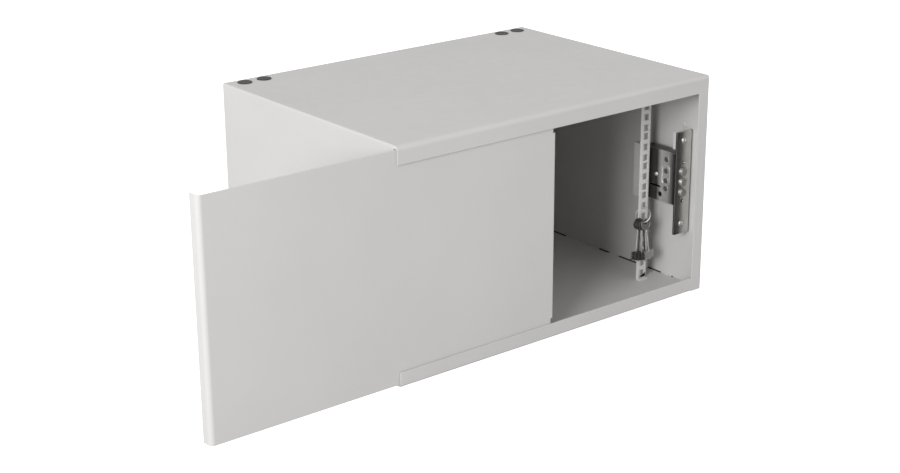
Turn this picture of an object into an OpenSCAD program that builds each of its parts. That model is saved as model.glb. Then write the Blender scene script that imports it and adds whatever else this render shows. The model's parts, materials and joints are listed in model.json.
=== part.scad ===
// Wall-mount 19-inch cabinet with one front panel that slides out sideways.
// Origin at the centre of the underside, +X to the right, +Y to the rear, +Z up. Millimetres.

/* [Cabinet] */
// Outside width
cab_w = 550; // [550:5:600]
// Outside depth
cab_d = 400; // [300:10:600]
// Usable height in rack units of 44.45 mm
rack_units = 7; // [6:1:12]
// Thickness of the folded sheet
sheet = 1.5; // [1.2:0.1:1.6]
// Outside radius of the roof's side bends and of the small folds
bend_r = 3; // [2.5:0.5:4]
// Outside radius of the bend between the right wall and its front flange
flange_bend = 4.5; // [3:0.5:6]
// Outside radius of the soft bends along the roof's front edge and the door's left end
soft_bend = 6.5; // [5:0.5:8]

/* [Front opening] */
// Height of the lip above the opening
top_lip = 24; // [22:0.5:30]
// Height of the lip below the opening
bottom_lip = 20.5; // [20:0.5:30]
// Width of the flange at the right of the opening
right_flange = 20.5; // [18:0.5:22]

/* [Sliding door] */
// How far the door stands open at rest
door_open = 280; // [0:5:480]
// Gap between the door's right end and the outside of the right wall, with the door shut
door_short = 10; // [10:0.5:12]
// Depth of the door's folded ends
door_fold = 16.8; // [15:0.1:17]

/* [Rails] */
// Distance of the rails' front faces behind the cabinet's front
rail_setback = 80; // [80:5:120]
// Width of a rail's front leg
rail_w = 20; // [19:0.5:22]
// Side of a square rail hole
rail_hole = 9.5; // [9:0.1:9.6]

/* [Lock] */
// Distance of the bolts from the outside of the right wall
lock_inset = 20; // [19:0.5:21]
// Distance of the lock's face behind the cabinet's front
lock_setback = 26; // [26:0.5:28]
// Diameter of a bolt
bolt_d = 12; // [10:0.5:12]
// Distance from one bolt to the next
bolt_pitch = 15.5; // [15:0.5:16]

/* [Cable entries] */
// Diameter of a plug's head
plug_d = 21; // [20:0.5:24]
// Distance between the two plugs of a pair
plug_pitch = 31.5; // [28:0.5:34]

/* [Keys] */
// Radius of the ring, to the middle of its wire
ring_r = 11.2; // [11:0.1:11.5]
// Thickness of a key
key_t = 2; // [1.8:0.1:2.1]

/* [Hidden] */
$fn = 48;
eps = 0.01;
past = 5;               // how far a cutting shape runs past what it cuts

powder_grey = [0.78, 0.78, 0.77];
rail_grey = [0.70, 0.70, 0.69];
plug_black = [0.09, 0.09, 0.10];
bright_steel = [0.66, 0.65, 0.62];
dark_steel = [0.30, 0.30, 0.31];
brass_yellow = [0.72, 0.60, 0.34];

// Cabinet
unit_h = 44.45;
spare_h = 8.85;         // what the floor, the roof and their clearances take
cab_h = rack_units * unit_h + spare_h;
half_w = cab_w / 2;
front = -cab_d / 2;
rear = cab_d / 2;
mid_z = cab_h / 2;

// Door and its runners
runner_t = 1.5;
guide_y = front + soft_bend;    // front face of the runners' upright legs
guide_leg = 16;
guide_foot = 14;
slot_d = 20;            // how far back the door slot reaches where the door's right fold passes
slit_d = 7.5;           // how far back it reaches above and below that
slot_z = 3;
stop_gap = 0.5;         // gap between the door's left fold and the left wall, with the door shut
door_y = front + sheet + 0.7;
door_w = cab_w - door_short + sheet + stop_gap;
door_travel = door_open - sheet - stop_gap;
door_x0 = -half_w - door_open;
door_x1 = door_x0 + door_w;
door_z0 = sheet + runner_t + 0.4;
door_z1 = cab_h - sheet - runner_t - 1.5;
fold_y = door_y + door_fold;
fold_clear = 7;         // gap between the right fold and the inner edges of the lips
fold_z0 = bottom_lip + fold_clear;
fold_z1 = cab_h - top_lip - fold_clear;
relief_w = 5;           // width of the cut-away corners at the door's right end
strike_h = 130;
strike_lip = 22;
strike_clear = 0.5;     // radial clearance of a bolt in the strike

// Rails: three holes to a unit, at 6.35, 22.225 and 38.1 mm from its lower edge
rail_x = 465.1 / 2;
rail_y = front + rail_setback;
rail_side = 15;
rail_holes = [6.35, 22.225, 38.1];
foot_d = 5;
bracket_h = 81;
bracket_d = 35;         // from the rail's front face to the bracket's cross leg

// Cable plugs
plug_hole_d = 18;
plug_head_h = 1.2;
plug_inset_x = 26;
plug_inset_y = 16;

// Wall fixing
fix_x = 200;
fix_z = 100;
fix_hole_r = 5;

// Gaps left open between the weld tacks of the floor: start behind the front, length
weld_gaps = [[55, 3], [80, 28], [132, 38], [192, 22], [290, 30]];
weld_gap_w = 1.2;

// Lock
lock_x = half_w - lock_inset;
lock_y = front + lock_setback;
lock_z = mid_z;
face_w = 30;
face_h = 154;
face_t = 2.5;
face_z0 = lock_z - 1 - face_h / 2;
face_z1 = face_z0 + face_h;
face_screw_z = 62.5;
face_screw_r = 2.5;
face_head_r = 4.7;
case_x0 = half_w - 29.5;
case_x1 = half_w - 12;
case_y0 = lock_y + face_t;
case_y1 = case_y0 + 72.5;
case_z0 = lock_z - 35;
case_z1 = lock_z + 42;
case_t = 1.5;
bolt_out = 3;           // how far the bolts stand out of the face plate at rest
bolt_l = 27;
bolt_fit = 0.05;        // radial running clearance
cross_y = lock_y - bolt_out + bolt_l;
cross_t = 3;
tail_x = lock_x - 6;
tail_t = 1.5;
tail_y1 = lock_y + 66;
tail_h = 22;
key_y = lock_y + 35.3;
key_z = lock_z - 24.6;
key_bore_r = 3;
key_slot = 8;           // how far the keyway reaches above and below the middle of its bore
cover_rivets = [30, 12.7, -2.2, -14];   // heights above the middle bolt
cover_rivet_y = lock_y + 24.4;
cover_screw = [lock_y + 43.4, lock_z + 4.1];
cover_slot = [lock_y + 36, lock_y + 56, lock_z - 13.5];
cover_slot_r = 1.6;

// Levers, seen from the side as [y, z]
lever_n = 4;
lever_t = 1.6;
lever_step = 2.1;
lever_x = tail_x + tail_t + 0.5;
lever_pin = [case_y1 - 8, lock_z + 3];
lever_pin_r = 2.5;
lever_eye_r = 5;
stump_r = 2.5;
stump_y = tail_y1 - 12;
stump_fit = 0.3;
throw = 18;
belly = [0, 1, 0.4, 1.4];              // how much of each lever's lower edge is cut away

// Key ring: goes in through one rail hole and comes out round the rail's inner edge. Its plane is spanned
// by ring_along, level, and ring_down, straight down its slope.
ring_wire_r = 0.9;
ring_turn = 68;         // how far ring_along is turned from the cabinet's width towards its front
ring_tilt = 30;         // slope of the plane away from upright
ring_lean = 21.5;       // how far the ring's centre is swung to the front of straight below the hole
ring_along = [cos(ring_turn), -sin(ring_turn), 0];
ring_down = [-sin(ring_turn) * sin(ring_tilt), -cos(ring_turn) * sin(ring_tilt), -cos(ring_tilt)];
hang_z = (cab_h - rack_units * unit_h) / 2 + 2 * unit_h + rail_holes[1] - rail_hole / 2 + 1.35;
hang = [rail_x - 2.7, rail_y + sheet / 2, hang_z];
ring_c = hang + ring_spot(ring_lean);

// Keys: where each sits round the ring, and how far it leans in its own plane
key_face = 8;           // how far the keys' flat faces are turned to the left
key_spots = [-24, -11.5, 1.2, 14.9, 31];
key_leans = [4, 1, -3, -6, -10];
bow_r = 8.5;
bow_drop = 3.4;
bow_hole_r = 3.5;
shank_w = 2.4;
key_l = 60;             // from the bow's hole to the tip
bit_w = 16;
bit_h = 12;

// From the ring's centre to the middle of its wire, a degrees round from its lowest point
function ring_spot(a) = ring_r * (sin(a) * ring_along + cos(a) * ring_down);

// Rectangle from a to b with corner radii r = [low left, low right, high right, high left]
module rounded(a, b, r) {
    difference() {
        translate(a) square(b - a);
        for (i = [0:3]) if (r[i] > 0) {
            low = i < 2 ? 1 : -1;
            left = i == 0 || i == 3 ? 1 : -1;
            translate([left > 0 ? a[0] : b[0], low > 0 ? a[1] : b[1]]) difference() {
                translate([left > 0 ? -1 : -r[i], low > 0 ? -1 : -r[i]]) square(r[i] + 1);
                translate([left * r[i], low * r[i]]) circle(r[i]);
            }
        }
    }
}

// Extrudes an outline drawn in [x, z] from y0 to y1
module along_y(y0, y1) { translate([0, y1, 0]) rotate([90, 0, 0]) linear_extrude(y1 - y0) children(); }

// Extrudes an outline drawn in [y, z] from x0 to x1
module along_x(x0, x1) { translate([x0, 0, 0]) rotate([90, 0, 90]) linear_extrude(x1 - x0) children(); }

module box(a, b) { translate(a) cube(b - a); }

// Block from a to b with the cabinet's bends along its roof and its front, each t smaller than outside
module folded_block(a, b, t) {
    side_r = bend_r - t;
    intersection() {
        along_y(a[1], b[1]) rounded([a[0], a[2]], [b[0], b[2]], [0, 0, side_r, side_r]);
        along_x(a[0], b[0]) rounded([a[1], a[2]], [b[1], b[2]], [0, 0, 0, soft_bend - t]);
        translate([0, 0, a[2]]) linear_extrude(b[2] - a[2])
            rounded([a[0], a[1]], [b[0], b[1]], [0, flange_bend - t, 0, 0]);
    }
}

function plug_x(i) = (i < 2 ? -1 : 1) * (half_w - plug_inset_x - (i % 2) * plug_pitch);

module outer_shell() color(powder_grey) difference() {
    folded_block([-half_w, front, 0], [half_w, rear, cab_h], 0);
    folded_block([-half_w + sheet, front + sheet, -past], [half_w - sheet, rear + past, cab_h - sheet],
        sheet);
    // front opening, down to the underside: the floor panel brings the bottom lip
    box([-half_w - past, front - past, -past], [half_w - right_flange, front + sheet + eps, cab_h - top_lip]);
    // slot for the door: a slit for its face and a deeper part for its right fold
    box([-half_w - past, front + sheet, slot_z], [-half_w + sheet + eps, front + slit_d, cab_h - slot_z]);
    box([-half_w - past, front + sheet, fold_z0 - 2], [-half_w + sheet + eps, front + slot_d, fold_z1 + 2]);
    for (i = [0:3]) translate([plug_x(i), rear - plug_inset_y, cab_h - sheet - past])
        cylinder(d = plug_hole_d, h = sheet + 2 * past);
    // keyhole
    translate([half_w - past, key_y, key_z]) rotate([0, 90, 0]) cylinder(r = key_bore_r, h = 2 * past);
    box([half_w - past, key_y - 1.5, key_z - key_slot], [half_w + past, key_y + 1.5, key_z + key_slot]);
}

module floor_panel() color(powder_grey) {
    in_w = half_w - sheet;
    difference() {
        union() {
            box([-in_w, front + bend_r, 0], [in_w, rear - sheet, sheet]);
            box([half_w - right_flange, front + sheet, 0], [in_w, front + bend_r + eps, sheet]);
            along_x(-half_w, half_w - right_flange) difference() {
                rounded([front, 0], [front + bend_r + eps, bottom_lip], [bend_r, 0, 0, 0]);
                rounded([front + sheet, sheet], [front + past, bottom_lip + past],
                    [bend_r - sheet, 0, 0, 0]);
            }
        }
        box([-half_w - past, front + sheet, -past], [-in_w, rear, sheet + eps]);
        for (g = weld_gaps, side = [-1, 1])
            box([side * in_w - (side > 0 ? weld_gap_w : past), front + g[0], -past],
                [side * in_w + (side > 0 ? past : weld_gap_w), front + g[0] + g[1], past]);
    }
}

module back_panel() color(powder_grey) difference() {
    box([-half_w + sheet, rear - sheet, 0], [half_w - sheet, rear, cab_h - sheet]);
    // the shell's two roof bends
    for (side = [-1, 1]) along_y(rear - past, rear + past) difference() {
        translate([side * (half_w - sheet), cab_h - sheet]) square(2 * (bend_r - sheet), center = true);
        translate([side * (half_w - bend_r), cab_h - bend_r]) circle(bend_r - sheet);
    }
    for (x = [-fix_x, fix_x], z = [-fix_z, fix_z]) translate([x, rear + past, mid_z + z])
        rotate([90, 0, 0]) cylinder(r = fix_hole_r, h = 2 * past);
}

// Runner for one edge of the door: an angle on the floor, with its upright leg behind the door and its
// foot from y0 to y1
module door_guide(y0, y1) {
    along_x(-half_w + sheet + 4, half_w - sheet - 4) union() {
        translate([y0, sheet]) square([y1 - y0, runner_t]);
        translate([guide_y, sheet]) square([runner_t, guide_leg]);
    }
}

// The door runs on this one's foot
module lower_door_guide() color(powder_grey) door_guide(front + bend_r, guide_y + runner_t);

module upper_door_guide() color(powder_grey)
    translate([0, 0, cab_h]) mirror([0, 0, 1]) door_guide(guide_y, guide_y + guide_foot);

// Right rail; the left one is its mirror image
module rail() {
    x0 = rail_x - rail_w / 2;
    x1 = rail_x + rail_w / 2;
    z0 = (cab_h - rack_units * unit_h) / 2;
    difference() {
        union() {
            translate([0, 0, sheet]) linear_extrude(cab_h - 2 * sheet) difference() {
                rounded([x0, rail_y], [x1, rail_y + rail_side], [0, sheet + 1, 0, 0]);
                rounded([x0 - past, rail_y + sheet], [x1 - sheet, rail_y + rail_side + past], [0, 1, 0, 0]);
            }
            box([x0, rail_y - foot_d, sheet], [x1 - sheet, rail_y + eps, 2 * sheet]);
        }
        for (u = [0:rack_units - 1], h = rail_holes)
            translate([rail_x, rail_y, z0 + u * unit_h + h])
                cube([rail_hole, 4 * sheet, rail_hole], center = true);
    }
}

module rail_right() color(rail_grey) rail();

module rail_left() color(rail_grey) mirror([1, 0, 0]) rail();

// Bracket from the right rail's side leg to the right wall
module rail_bracket() {
    x0 = rail_x + rail_w / 2;
    x1 = half_w - sheet;
    y1 = rail_y + bracket_d;
    translate([0, 0, mid_z + 2 - bracket_h / 2]) linear_extrude(bracket_h) union() {
        translate([x0, rail_y + 3]) square([sheet, bracket_d - 3]);
        translate([x0, y1 - sheet]) square([x1 - x0, sheet]);
        translate([x1 - sheet, y1 - sheet]) square([sheet, 16]);
    }
}

module rail_bracket_right() color(rail_grey) rail_bracket();

module rail_bracket_left() color(rail_grey) mirror([1, 0, 0]) rail_bracket();

module cable_plug(i) color(plug_black) translate([plug_x(i), rear - plug_inset_y, cab_h]) difference() {
    union() {
        cylinder(d = plug_d, h = plug_head_h / 2);
        translate([0, 0, plug_head_h / 2 - eps])
            cylinder(d1 = plug_d, d2 = plug_d - 1.6, h = plug_head_h / 2);
        translate([0, 0, -sheet - 1]) cylinder(d = plug_hole_d - 0.1, h = sheet + 1 + eps);
        translate([0, 0, -sheet - 1.5]) cylinder(d = plug_hole_d + 0.8, h = 1.5);
        translate([0, 0, -sheet - 4]) cylinder(d = plug_hole_d - 1.5, h = 3);
    }
    translate([0, 0, plug_head_h - 0.3]) cylinder(d = plug_d - 6, h = past);
    translate([0, 0, -sheet - 4 - past]) cylinder(d = plug_hole_d - 4, h = 3 + past);
}

module cable_plug_1() cable_plug(0);
module cable_plug_2() cable_plug(1);
module cable_plug_3() cable_plug(2);
module cable_plug_4() cable_plug(3);

module door_panel() color(powder_grey) difference() {
    translate([0, 0, door_z0]) linear_extrude(door_z1 - door_z0) difference() {
        rounded([door_x0, door_y], [door_x1, fold_y], [soft_bend, bend_r, 0, 0]);
        rounded([door_x0 + sheet, door_y + sheet], [door_x1 - sheet, fold_y + past],
            [soft_bend - sheet, bend_r - sheet, 0, 0]);
    }
    // the right fold is cut short above and below, to clear the runners, with its corner of the face
    for (z = [[door_z0 - past, fold_z0], [fold_z1, door_z1 + past]])
        box([door_x1 - relief_w, door_y - past, z[0]], [door_x1 + past, fold_y + past, z[1]]);
}

module door_strike() color(bright_steel) difference() {
    x1 = door_x1 - sheet;
    translate([0, 0, lock_z - strike_h / 2]) linear_extrude(strike_h) union() {
        translate([x1 - sheet, door_y + bend_r]) square([sheet, fold_y - door_y - bend_r]);
        translate([x1 - strike_lip, fold_y - sheet]) square([strike_lip, sheet]);
    }
    for (k = [-1:1]) translate([lock_x - door_travel, fold_y + past, lock_z + k * bolt_pitch])
        rotate([90, 0, 0]) cylinder(r = bolt_d / 2 + strike_clear, h = 2 * past);
}

// Bracket behind one end of the face plate, from z0 to z1, welded to the wall. Its inner edge is at x0,
// and is folded back by fold.
module lock_bracket(x0, z0, z1, fold) {
    difference() {
        translate([0, 0, z0]) linear_extrude(z1 - z0) union() {
            translate([x0, case_y0]) square([half_w - sheet - x0, sheet]);
            translate([x0, case_y0]) square([sheet, fold]);
            translate([half_w - 2 * sheet, case_y0]) square([sheet, 14]);
        }
        for (s = [-1, 1]) translate([lock_x, case_y0 - past, lock_z + s * face_screw_z])
            rotate([-90, 0, 0]) cylinder(r = face_screw_r + 0.05, h = 2 * past);
    }
}

module lock_bracket_upper() color(powder_grey)
    lock_bracket(lock_x - face_w / 2 + 1, lock_z + 50.5, face_z1 - 0.5, 6);

module lock_bracket_lower() color(powder_grey)
    lock_bracket(lock_x - face_w / 2 + 5, face_z0 + 1, lock_z - 47.5, sheet);

module lock_face_plate() color(bright_steel) difference() {
    along_y(lock_y, case_y0)
        rounded([lock_x - face_w / 2, face_z0], [lock_x + face_w / 2, face_z1], [2, 2, 2, 2]);
    for (k = [-1:1]) translate([lock_x, lock_y - past, lock_z + k * bolt_pitch])
        rotate([-90, 0, 0]) cylinder(r = bolt_d / 2 + bolt_fit, h = 2 * past);
    for (s = [-1, 1]) translate([lock_x, lock_y - eps, lock_z + s * face_screw_z]) rotate([-90, 0, 0]) {
        cylinder(r = face_screw_r + 0.1, h = past);
        cylinder(r1 = face_head_r + 0.2, r2 = face_screw_r + 0.1, h = 2.2);
    }
    // small holes above and below the bolts
    translate([lock_x, lock_y - past, lock_z + 29]) rotate([-90, 0, 0]) cylinder(r = 1.6, h = 2 * past);
    translate([lock_x, lock_y - past, lock_z - 28.5]) rotate([-90, 0, 0]) cylinder(r = 2.4, h = 2 * past);
}

module lock_face_screws() color(bright_steel)
    for (s = [-1, 1]) translate([lock_x, lock_y - 0.4, lock_z + s * face_screw_z]) rotate([-90, 0, 0])
        difference() {
            union() {
                cylinder(r = face_head_r, h = 0.4);
                translate([0, 0, 0.4 - eps]) cylinder(r1 = face_head_r, r2 = face_screw_r, h = 2);
                cylinder(r = face_screw_r, h = 9);
            }
            translate([-3.6, -0.5, -eps]) cube([7.2, 1, 1]);
            translate([-0.5, -3.6, -eps]) cube([1, 7.2, 1]);
        }

// Case of the lock, open towards the inside of the cabinet
module lock_case() color(dark_steel) difference() {
    box([case_x0 + case_t, case_y0, case_z0], [case_x1, case_y1, case_z1]);
    box([case_x0 - past, case_y0 + case_t, case_z0 + case_t],
        [case_x1 - case_t, case_y1 - case_t, case_z1 - case_t]);
    for (k = [-1:1]) translate([lock_x, case_y0 - past, lock_z + k * bolt_pitch])
        rotate([-90, 0, 0]) cylinder(r = bolt_d / 2 + bolt_fit, h = 2 * past);
    // keyway
    translate([case_x1 - past, key_y, key_z]) rotate([0, 90, 0]) cylinder(r = key_bore_r, h = 2 * past);
    box([case_x1 - past, key_y - 1.5, key_z - key_slot], [case_x1 + past, key_y + 1.5, key_z + key_slot]);
}

module lock_cover() color(dark_steel) difference() {
    box([case_x0, case_y0, case_z0], [case_x0 + case_t, case_y1, case_z1]);
    along_x(case_x0 - past, case_x0 + past) {
        for (y = [cover_slot[0], cover_slot[1]]) translate([y, cover_slot[2]]) circle(cover_slot_r);
        translate([cover_slot[0], cover_slot[2] - cover_slot_r])
            square([cover_slot[1] - cover_slot[0], 2 * cover_slot_r]);
        translate([key_y, key_z]) circle(4);
        translate(cover_screw) circle(1.8);
    }
}

// Flat heads of the four rivets that stand on the cover
module lock_cover_rivets() color(dark_steel)
    for (h = cover_rivets) translate([case_x0 - 0.6, cover_rivet_y, lock_z + h])
        rotate([0, 90, 0]) cylinder(r = 4, h = 0.6);

module lock_cover_screw() color(bright_steel)
    translate([case_x0, cover_screw[0], cover_screw[1]]) rotate([0, 90, 0]) difference() {
        union() {
            translate([0, 0, -1.6]) cylinder(r1 = 2.2, r2 = 3.2, h = 1.6);
            cylinder(r = 1.7, h = 3.2);
        }
        translate([-2.5, -0.4, -2]) cube([5, 0.8, 1.1]);
    }

module lock_key_guide() color(dark_steel) translate([case_x0, key_y, key_z]) rotate([0, 90, 0])
    difference() {
        union() {
            cylinder(r = 4, h = case_t);
            translate([0, 0, case_t]) cylinder(r = 6, h = 1.5);
        }
        translate([0, 0, -past]) cylinder(r = 2.6, h = 4 * past);
    }

module lock_bolt(k) color(bright_steel)
    translate([lock_x, cross_y, lock_z + k * bolt_pitch]) rotate([90, 0, 0]) {
        cylinder(d = bolt_d, h = bolt_l - 1);
        translate([0, 0, bolt_l - 1 - eps]) cylinder(d1 = bolt_d, d2 = bolt_d - 2, h = 1 + eps);
    }

module lock_bolt_upper() lock_bolt(1);
module lock_bolt_middle() lock_bolt(0);
module lock_bolt_lower() lock_bolt(-1);

// Cross plate behind the bolts, with the tail that the key drives and the stump that the levers hold
module lock_carriage() color(dark_steel) {
    difference() {
        union() {
            box([lock_x - 6, cross_y, lock_z - bolt_pitch - 6],
                [lock_x + 6, cross_y + cross_t, lock_z + bolt_pitch + 6]);
            box([tail_x, cross_y, lock_z - tail_h / 2], [tail_x + tail_t, tail_y1, lock_z + tail_h / 2]);
        }
        // notch for the key's bit
        box([tail_x - past, key_y + 2, lock_z - tail_h / 2 - past], [tail_x + past, key_y + 10,
            lock_z - tail_h / 2 + 5]);
    }
    translate([tail_x + tail_t - eps, stump_y, lock_z]) rotate([0, 90, 0])
        cylinder(r = stump_r, h = 1 + lever_n * lever_step);
}

module lever(i) color(brass_yellow) {
    y0 = key_y - 6;
    y1 = stump_y + stump_r + 6;
    z0 = lock_z - 9.5 + belly[i];
    z1 = lock_z + 13;
    gate = stump_r + stump_fit;
    along_x(lever_x + i * lever_step, lever_x + i * lever_step + lever_t) difference() {
        union() {
            translate([y0, z0]) square([y1 - y0, z1 - z0]);
            translate(lever_pin) circle(lever_eye_r);
            translate([y1 - 4, lever_pin[1] - 4]) square([lever_pin[0] - y1 + 4, 8]);
        }
        translate(lever_pin) circle(lever_pin_r + bolt_fit);
        // gate between the two pockets of the stump
        translate([stump_y - throw - gate, lock_z - gate]) square([throw + 2 * gate, 2 * gate]);
        for (y = [stump_y - throw, stump_y])
            translate([y - gate - 1, lock_z - gate]) square([2 * gate + 2, 2 * gate + 4]);
    }
}

module lock_lever_1() lever(0);
module lock_lever_2() lever(1);
module lock_lever_3() lever(2);
module lock_lever_4() lever(3);

module lock_lever_pivot() color(bright_steel)
    translate([lever_x - 0.3, lever_pin[0], lever_pin[1]]) rotate([0, 90, 0])
        cylinder(r = lever_pin_r, h = case_x1 - case_t - lever_x + 0.3);

// One curved leaf spring on the top edge of each lever
module lock_lever_springs() color(bright_steel) {
    arc_r = 13;
    foot = [stump_y - 10.5, lock_z + 13];
    for (i = [0:lever_n - 1])
        along_x(lever_x + i * lever_step + 0.3, lever_x + i * lever_step + lever_t - 0.3) {
            translate(foot) square([10, 0.6]);
            translate(foot + [0, arc_r]) intersection() {
                difference() {
                    circle(arc_r);
                    circle(arc_r - 0.6);
                }
                translate([-2 * arc_r, -2 * arc_r]) square([2 * arc_r, 3 * arc_r]);
            }
        }
}

module key_ring() color(bright_steel) translate(ring_c) rotate([90 - ring_tilt, 0, -ring_turn])
    rotate_extrude() translate([ring_r, 0]) circle(ring_wire_r, $fn = 24);

// A key hangs by the hole of its bow from its spot on the ring
module ring_key(i) color(bright_steel) {
    translate(ring_c + ring_spot(key_spots[i])) rotate([0, 0, -key_face]) rotate([0, key_leans[i], 0])
        along_y(-key_t / 2, key_t / 2) difference() {
            union() {
                translate([0, -bow_drop]) circle(bow_r);
                translate([-shank_w / 2, -key_l]) square([shank_w, key_l - bow_drop]);
                translate([-bit_w / 2, -key_l + 2]) square([bit_w, bit_h]);
            }
            circle(bow_hole_r);
            // cuts of the two bits
            for (k = [0:2], side = [-1, 1])
                translate([side * bit_w / 2, -key_l + 5 + k * 3.6])
                    square([3 + ((i + k) % 3) * 1.6, 1.6], center = true);
        }
}

module key_1() ring_key(0);
module key_2() ring_key(1);
module key_3() ring_key(2);
module key_4() ring_key(3);
module key_5() ring_key(4);

outer_shell();
floor_panel();
back_panel();
upper_door_guide();
lower_door_guide();
rail_left();
rail_right();
rail_bracket_left();
rail_bracket_right();
cable_plug_1();
cable_plug_2();
cable_plug_3();
cable_plug_4();
door_panel();
door_strike();
lock_bracket_upper();
lock_bracket_lower();
lock_face_plate();
lock_face_screws();
lock_case();
lock_cover();
lock_cover_rivets();
lock_cover_screw();
lock_key_guide();
lock_carriage();
lock_bolt_upper();
lock_bolt_middle();
lock_bolt_lower();
lock_lever_1();
lock_lever_2();
lock_lever_3();
lock_lever_4();
lock_lever_pivot();
lock_lever_springs();
key_ring();
key_1();
key_2();
key_3();
key_4();
key_5();
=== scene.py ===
"""Looks of a wall-mount network cabinet whose front panel slides out sideways.

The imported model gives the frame: every piece below takes its place from a CAD node. Pieces are built in
millimetres, and place() turns them into metres.
"""
import json
import math
import random

import bmesh
import bpy
from mathutils import Matrix, Vector


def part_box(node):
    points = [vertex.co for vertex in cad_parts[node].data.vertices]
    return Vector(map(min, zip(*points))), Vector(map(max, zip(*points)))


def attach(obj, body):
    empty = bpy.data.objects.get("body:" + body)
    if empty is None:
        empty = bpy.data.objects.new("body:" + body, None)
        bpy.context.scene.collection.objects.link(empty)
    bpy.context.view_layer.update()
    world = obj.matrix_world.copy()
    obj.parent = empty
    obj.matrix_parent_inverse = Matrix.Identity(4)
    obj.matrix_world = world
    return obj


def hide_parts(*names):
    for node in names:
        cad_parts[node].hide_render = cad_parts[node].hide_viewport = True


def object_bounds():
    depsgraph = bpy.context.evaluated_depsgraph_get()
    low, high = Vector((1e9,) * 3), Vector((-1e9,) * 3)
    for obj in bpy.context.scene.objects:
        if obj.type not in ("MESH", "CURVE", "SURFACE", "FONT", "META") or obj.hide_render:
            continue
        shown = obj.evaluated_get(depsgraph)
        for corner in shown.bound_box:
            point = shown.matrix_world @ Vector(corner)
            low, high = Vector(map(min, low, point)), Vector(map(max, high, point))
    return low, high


MM = 0.001
SHEET = 1.5          # thickness of the folded sheet
BEND = 3.0           # outside radius of the small folds
FLANGE_BEND = 4.5    # outside radius between the right wall and its front flange
SOFT_BEND = 6.5      # outside radius along the roof's front edge and the door's left end
PAST = 5.0           # how far a cutter runs past what it cuts
ARC_STEPS = 8        # facets in a quarter bend
EDGE = 0.25          # rounding of a cut sheet edge

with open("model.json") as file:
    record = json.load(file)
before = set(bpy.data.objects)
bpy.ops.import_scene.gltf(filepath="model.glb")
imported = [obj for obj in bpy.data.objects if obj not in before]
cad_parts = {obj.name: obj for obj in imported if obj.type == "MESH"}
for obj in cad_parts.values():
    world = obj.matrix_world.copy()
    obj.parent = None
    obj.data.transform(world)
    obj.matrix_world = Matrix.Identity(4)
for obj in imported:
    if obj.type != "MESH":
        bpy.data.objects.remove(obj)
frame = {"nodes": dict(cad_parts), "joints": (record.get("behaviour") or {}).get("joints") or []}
cad_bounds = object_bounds()
scene = bpy.context.scene


def span(node):
    """Lowest and highest corner of a CAD node, in millimetres."""
    lo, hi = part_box(node)
    return lo / MM, hi / MM


# ---------------------------------------------------------------- outlines

def fillet(points, radii, closed=True, steps=ARC_STEPS):
    """A polyline with rounded corners: one radius for each point, 0 for a sharp one."""
    out = []
    for i, point in enumerate(points):
        p = Vector(point)
        at_end = not closed and i in (0, len(points) - 1)
        if radii[i] <= 0 or at_end:
            out.append(p)
            continue
        a = (Vector(points[i - 1]) - p).normalized()
        b = (Vector(points[(i + 1) % len(points)]) - p).normalized()
        half = a.angle(b) / 2
        centre = p + (a + b).normalized() * (radii[i] / math.sin(half))
        reach = radii[i] / math.tan(half)
        start, end = p + a * reach - centre, p + b * reach - centre
        out += [centre + start.slerp(end, k / steps).normalized() * radii[i] for k in range(steps + 1)]
    return out


def rectangle(lo, hi, radii=(0, 0, 0, 0)):
    """Rectangle with corner radii in the order low left, low right, high right, high left."""
    corners = [(lo[0], lo[1]), (hi[0], lo[1]), (hi[0], hi[1]), (lo[0], hi[1])]
    return fillet(corners, radii)


def circle(centre, radius, steps=48):
    return [Vector((centre[0] + radius * math.cos(2 * math.pi * k / steps),
                    centre[1] + radius * math.sin(2 * math.pi * k / steps))) for k in range(steps)]


def folded(path, bend, thick=SHEET):
    """Outline of a sheet that follows a path, its middle line, with this outside radius at its bends."""
    points = [Vector(p) for p in path]
    steps = [(q - p).normalized() for p, q in zip(points, points[1:])]
    sides = []
    for side in (1, -1):
        line, radii = [], []
        for i, p in enumerate(points):
            before, after = steps[max(i - 1, 0)], steps[min(i, len(steps) - 1)]
            n0, n1 = Vector((-before.y, before.x)), Vector((-after.y, after.x))
            line.append(p + (n0 + n1) / (1 + n0.dot(n1)) * side * thick / 2)
            turn = before.x * after.y - before.y * after.x
            radii.append(bend - thick if turn * side > 0 else bend)
        sides.append(fillet(line, radii, closed=False))
    return sides[0] + sides[1][::-1]


# ---------------------------------------------------------------- solids

def new_object(name, bm):
    mesh = bpy.data.meshes.new(name)
    bm.to_mesh(mesh)
    bm.free()
    obj = bpy.data.objects.new(name, mesh)
    scene.collection.objects.link(obj)
    return obj


def prism(outline, axis, lo, hi, name="prism"):
    """Closed solid: an outline in the two other axes, swept along one axis from lo to hi."""
    def at(p, w):
        return {"x": (w, p[0], p[1]), "y": (p[0], w, p[1]), "z": (p[0], p[1], w)}[axis]

    bm = bmesh.new()
    low = [bm.verts.new(at(p, lo)) for p in outline]
    high = [bm.verts.new(at(p, hi)) for p in outline]
    bm.faces.new(low)
    bm.faces.new(high[::-1])
    for i in range(len(outline)):
        bm.faces.new((low[i - 1], high[i - 1], high[i], low[i]))
    bmesh.ops.recalc_face_normals(bm, faces=bm.faces)
    return new_object(name, bm)


def block(lo, hi, name="block"):
    return prism(rectangle(lo[:2], hi[:2]), "z", lo[2], hi[2], name)


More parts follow.
